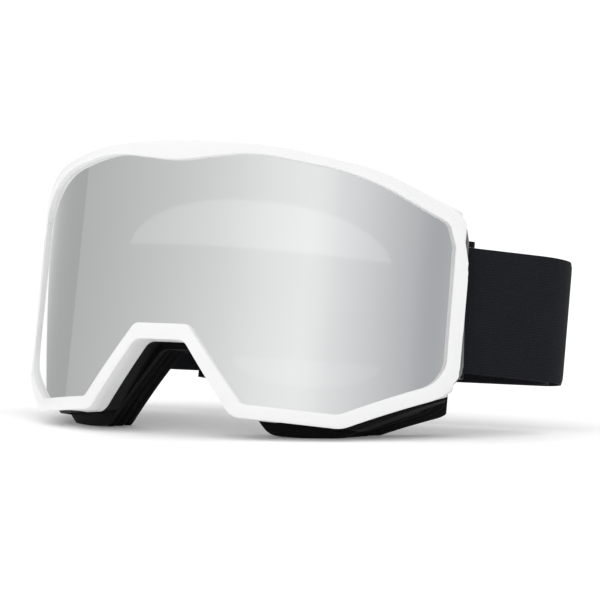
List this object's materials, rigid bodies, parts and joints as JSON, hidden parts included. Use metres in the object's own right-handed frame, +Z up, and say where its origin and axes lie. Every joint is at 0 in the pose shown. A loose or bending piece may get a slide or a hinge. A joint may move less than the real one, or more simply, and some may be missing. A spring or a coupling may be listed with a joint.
{
  "type": "motorcycle goggles",
  "caption": "Wide cylindrical-lens riding goggles with a snap-off magnetic mirrored lens unit, soft face foam and an adjustable elastic strap with sliders.",
  "frame": {"origin": "centre of the bounding box, on the surface that the goggles stand on", "axes": "+Z up, -Y the way the lens looks (leaning back 9.4 degrees), X across; the part is symmetric about X = 0. 'Right' in a node's name means +X, which is the wearer's left side."},
  "size_m": [0.207, 0.0997, 0.095],
  "materials": {
    "white_frame": "fine satin white moulded plastic",
    "mirror_lens": "silver mirror coating on polycarbonate",
    "clear_lens": "smoke tinted clear inner lens",
    "gasket_foam": "closed-cell foam gasket",
    "black_plastic": "matt black moulded plastic",
    "soft_black": "soft matt black thermoplastic rubber",
    "nickel": "nickel-plated magnet",
    "filter_foam": "open-cell filter foam",
    "face_foam": "black face foam",
    "fleece": "brushed black fleece",
    "strap_webbing": "woven charcoal elastic",
    "silicone": "satin silicone",
    "steel": "plain steel wire"
  },
  "bodies": {
    "face_frame": {"chassis": "black_plastic", "frame_magnets": "nickel", "face_flange": "soft_black", "vent_foam_top": "filter_foam", "vent_foam_lower_right": "filter_foam", "vent_foam_lower_left": "filter_foam", "foam_base": "face_foam", "foam_middle": "face_foam", "foam_face": "fleece", "strap_bracket_right": "black_plastic", "strap_bracket_left": "black_plastic", "strap_bar_right": "steel", "strap_bar_left": "steel", "strap_loop_right": "strap_webbing", "strap_loop_left": "strap_webbing", "strap_flex_right": "strap_webbing", "strap_flex_left": "strap_webbing"},
    "lens_unit": {"lens_frame": "white_frame", "outer_lens": "mirror_lens", "lens_gasket": "gasket_foam", "inner_lens": "clear_lens", "magnet_carrier": "black_plastic", "lens_magnets": "nickel"},
    "strap": {"strap_band": "strap_webbing", "strap_grip": "silicone"},
    "slider_right": {"slider_right": "black_plastic"},
    "slider_left": {"slider_left": "black_plastic"}
  },
  "joints": [
    {"name": "lens_release", "type": "slide", "parent": "face_frame", "child": "lens_unit", "axis": [0, -0.9866, 0.1633], "range_m": [0, 0.03]},
    {"name": "strap_swing", "type": "hinge", "parent": "face_frame", "child": "strap", "pos_m": [0, 0.01257, 0.03926], "axis": [1, 0, 0], "range_deg": [-6, 35], "deforming": ["strap_flex_right", "strap_flex_left"]},
    {"name": "slider_right_slide", "type": "slide", "parent": "strap", "child": "slider_right", "axis": [1, 0, 0], "range_m": [-0.006, 0.024]},
    {"name": "slider_left_slide", "type": "slide", "parent": "strap", "child": "slider_left", "axis": [-1, 0, 0], "range_m": [-0.006, 0.024]}
  ]
}
